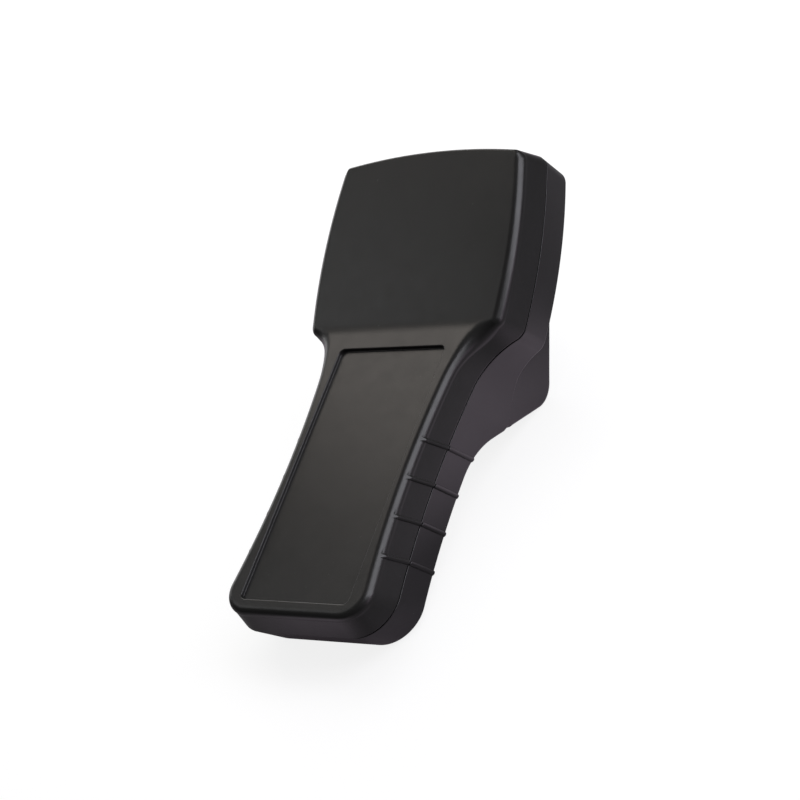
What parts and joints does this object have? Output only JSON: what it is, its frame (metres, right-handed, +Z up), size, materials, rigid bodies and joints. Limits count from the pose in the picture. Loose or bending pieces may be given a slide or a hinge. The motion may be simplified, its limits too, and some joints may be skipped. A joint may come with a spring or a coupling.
{
  "type": "handheld enclosure",
  "caption": "Two-shell moulded plastic handheld enclosure with a wide display head, folded handle with keypad recess, grip ribs and a battery hump behind.",
  "frame": {"origin": "middle of the footprint's bounding box, on the surface that the part lies on", "axes": "+X across the handle, +Y from the handle's end towards the head, +Z up with the part lying on its back"},
  "size_m": [0.11, 0.2164, 0.0976],
  "materials": {
    "front_plastic": "fine satin mould grain",
    "rear_plastic": "fine satin mould grain",
    "screw_steel": "zinc plated",
    "contact_steel": "nickel plated"
  },
  "bodies": {
    "root": {"front_shell": "front_plastic", "rear_shell": "rear_plastic", "case_screws": "screw_steel", "battery_cover": "rear_plastic", "cover_screw": "screw_steel", "contact_springs": "contact_steel", "contact_plates": "contact_steel"}
  },
  "joints": []
}
